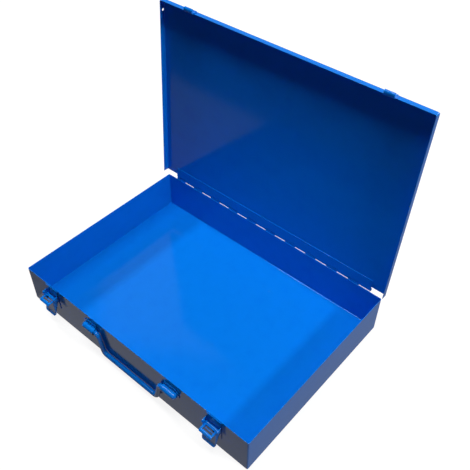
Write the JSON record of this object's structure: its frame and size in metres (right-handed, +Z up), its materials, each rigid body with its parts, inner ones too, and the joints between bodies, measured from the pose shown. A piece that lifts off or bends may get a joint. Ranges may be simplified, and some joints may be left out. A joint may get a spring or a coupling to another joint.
{
  "type": "steel assortment case",
  "caption": "Shallow painted sheet steel case with a lid on a piano hinge, draw latches at the front and a drop bail handle between them.",
  "frame": {"origin": "centre of the underside of the case body", "axes": "+X to the right along the front edge, +Y from the front to the hinge, +Z up"},
  "size_m": [0.4482, 0.3439, 0.391],
  "materials": {
    "case_enamel": "gloss blue enamel over folded sheet steel",
    "hardware_enamel": "the same gloss blue enamel, thinner over edges and rivets"
  },
  "bodies": {
    "case": {"body_tray": "case_enamel", "hinge_body_leaf": "hardware_enamel", "hinge_pin": "hardware_enamel", "latch_base_left": "hardware_enamel", "latch_base_right": "hardware_enamel", "latch_base_rivets_left": "hardware_enamel", "latch_base_rivets_right": "hardware_enamel", "latch_pivots_left": "hardware_enamel", "latch_pivots_right": "hardware_enamel", "handle_saddle_left": "hardware_enamel", "handle_saddle_right": "hardware_enamel", "saddle_rivets_left": "hardware_enamel", "saddle_rivets_right": "hardware_enamel"},
    "lid": {"lid_shell": "case_enamel", "hinge_lid_leaf": "hardware_enamel", "strike_left": "hardware_enamel", "strike_right": "hardware_enamel", "strike_rivets_left": "hardware_enamel", "strike_rivets_right": "hardware_enamel"},
    "handle": {"handle_bail": "hardware_enamel"},
    "left_lever": {"latch_lever_left": "hardware_enamel", "latch_loop_pin_left": "hardware_enamel"},
    "left_loop": {"latch_loop_left": "hardware_enamel"},
    "right_lever": {"latch_lever_right": "hardware_enamel", "latch_loop_pin_right": "hardware_enamel"},
    "right_loop": {"latch_loop_right": "hardware_enamel"}
  },
  "joints": [
    {"name": "lid_hinge", "type": "hinge", "parent": "case", "child": "lid", "pos_m": [0, 0.1549, 0.0707], "axis": [1, 0, 0], "range_deg": [0, 93.5]},
    {"name": "handle_swing", "type": "hinge", "parent": "case", "child": "handle", "pos_m": [0.0055, -0.1567, 0.048], "axis": [-1, 0, 0], "range_deg": [0, 150]},
    {"name": "left_lever_pivot", "type": "hinge", "parent": "case", "child": "left_lever", "pos_m": [-0.163, -0.1588, 0.0522], "axis": [1, 0, 0], "range_deg": [-78, 0]},
    {"name": "left_loop_pivot", "type": "hinge", "parent": "left_lever", "child": "left_loop", "pos_m": [-0.163, -0.1561, 0.048], "axis": [-1, 0, 0], "range_deg": [0, 61]},
    {"name": "right_lever_pivot", "type": "hinge", "parent": "case", "child": "right_lever", "pos_m": [0.163, -0.1588, 0.0522], "axis": [1, 0, 0], "range_deg": [-78, 0]},
    {"name": "right_loop_pivot", "type": "hinge", "parent": "right_lever", "child": "right_loop", "pos_m": [0.163, -0.1561, 0.048], "axis": [-1, 0, 0], "range_deg": [0, 61]}
  ]
}
